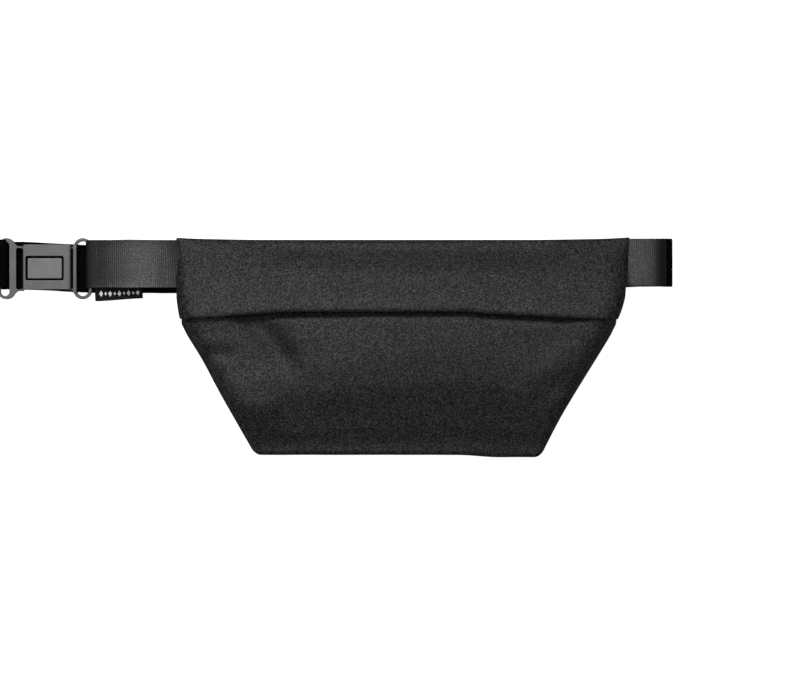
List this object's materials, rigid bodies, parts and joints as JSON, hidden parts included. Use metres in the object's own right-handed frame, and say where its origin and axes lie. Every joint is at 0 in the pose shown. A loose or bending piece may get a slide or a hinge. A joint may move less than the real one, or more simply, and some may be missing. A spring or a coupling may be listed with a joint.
{
  "type": "waist pack",
  "caption": "Waist pack lying on its back, with a zip under a fold-over flap, a padded back, a webbing belt and a push-button clasp buckle.",
  "frame": {"origin": "on the flat underside of the back panel, at the surface the pack lies on, on the bag's middle line", "axes": "+X to the right as the pack's front is looked at, along the belt; +Y to the bag's top edge; +Z out of the pack's front"},
  "size_m": [0.6313, 0.1745, 0.0346],
  "materials": {
    "canvas": "plain-woven charcoal canvas with a fine light fleck",
    "lining": "thin smooth grey lining cloth",
    "back_mesh": "black spacer mesh",
    "foam": "open-cell foam sheet",
    "zip_tape": "black woven tape",
    "zip_coil": "black nylon coil",
    "zip_metal": "black painted die-cast metal",
    "webbing": "black ribbed webbing with a soft sheen",
    "label": "folded woven label in black with pale threads",
    "buckle_plastic": "satin dark grey moulded plastic",
    "spring_steel": "plain spring wire"
  },
  "bodies": {
    "pack": {"back_panel": "back_mesh", "back_foam": "foam", "back_lining": "lining", "slip_pocket": "lining", "lower_front_panel": "canvas", "upper_front_panel": "canvas", "lower_lining": "lining", "upper_lining": "lining", "seam_binding_left": "lining", "seam_binding_right": "lining", "seam_binding_bottom": "lining", "zip_tape_lower": "zip_tape", "zip_tape_upper": "zip_tape", "zip_coil_lower": "zip_coil", "zip_coil_upper": "zip_coil", "zip_stop_left": "zip_metal", "zip_stop_right": "zip_metal", "short_strap": "webbing", "label_tab": "label", "waist_strap_back": "webbing", "buckle_base": "buckle_plastic", "buckle_cover": "buckle_plastic", "button_spring": "spring_steel"},
    "flap": {"flap_outer": "canvas", "flap_facing": "lining"},
    "slider": {"zip_slider": "zip_metal"},
    "pull": {"zip_pull": "zip_metal"},
    "button": {"buckle_button": "buckle_plastic"},
    "clasp": {"buckle_clasp": "buckle_plastic", "waist_strap_front": "webbing"},
    "adjuster": {"strap_adjuster": "buckle_plastic", "adjuster_tail": "webbing"}
  },
  "joints": [
    {"name": "flap_hinge", "type": "hinge", "parent": "pack", "child": "flap", "pos_m": [0, 0.087, 0.009], "axis": [-1, 0, 0], "range_deg": [0, 150]},
    {"name": "zip_slide", "type": "slide", "parent": "pack", "child": "slider", "axis": [-1, 0, 0], "range_m": [0, 0.22]},
    {"name": "pull_hinge", "type": "hinge", "parent": "slider", "child": "pull", "pos_m": [0.11, 0.03832, 0.02743], "axis": [0, 0.977, -0.213], "range_deg": [0, 10]},
    {"name": "button_press", "type": "slide", "parent": "pack", "child": "button", "axis": [0, 0, -1], "range_m": [0, 0.002], "stiffness_N_per_m": 600, "springref_m": -0.002, "deforming": ["button_spring"]},
    {"name": "clasp_slide", "type": "slide", "parent": "pack", "child": "clasp", "axis": [-1, 0, 0], "range_m": [0, 0.045]},
    {"name": "adjuster_slide", "type": "slide", "parent": "clasp", "child": "adjuster", "axis": [1, 0, 0], "range_m": [-0.022, 0.02]}
  ]
}
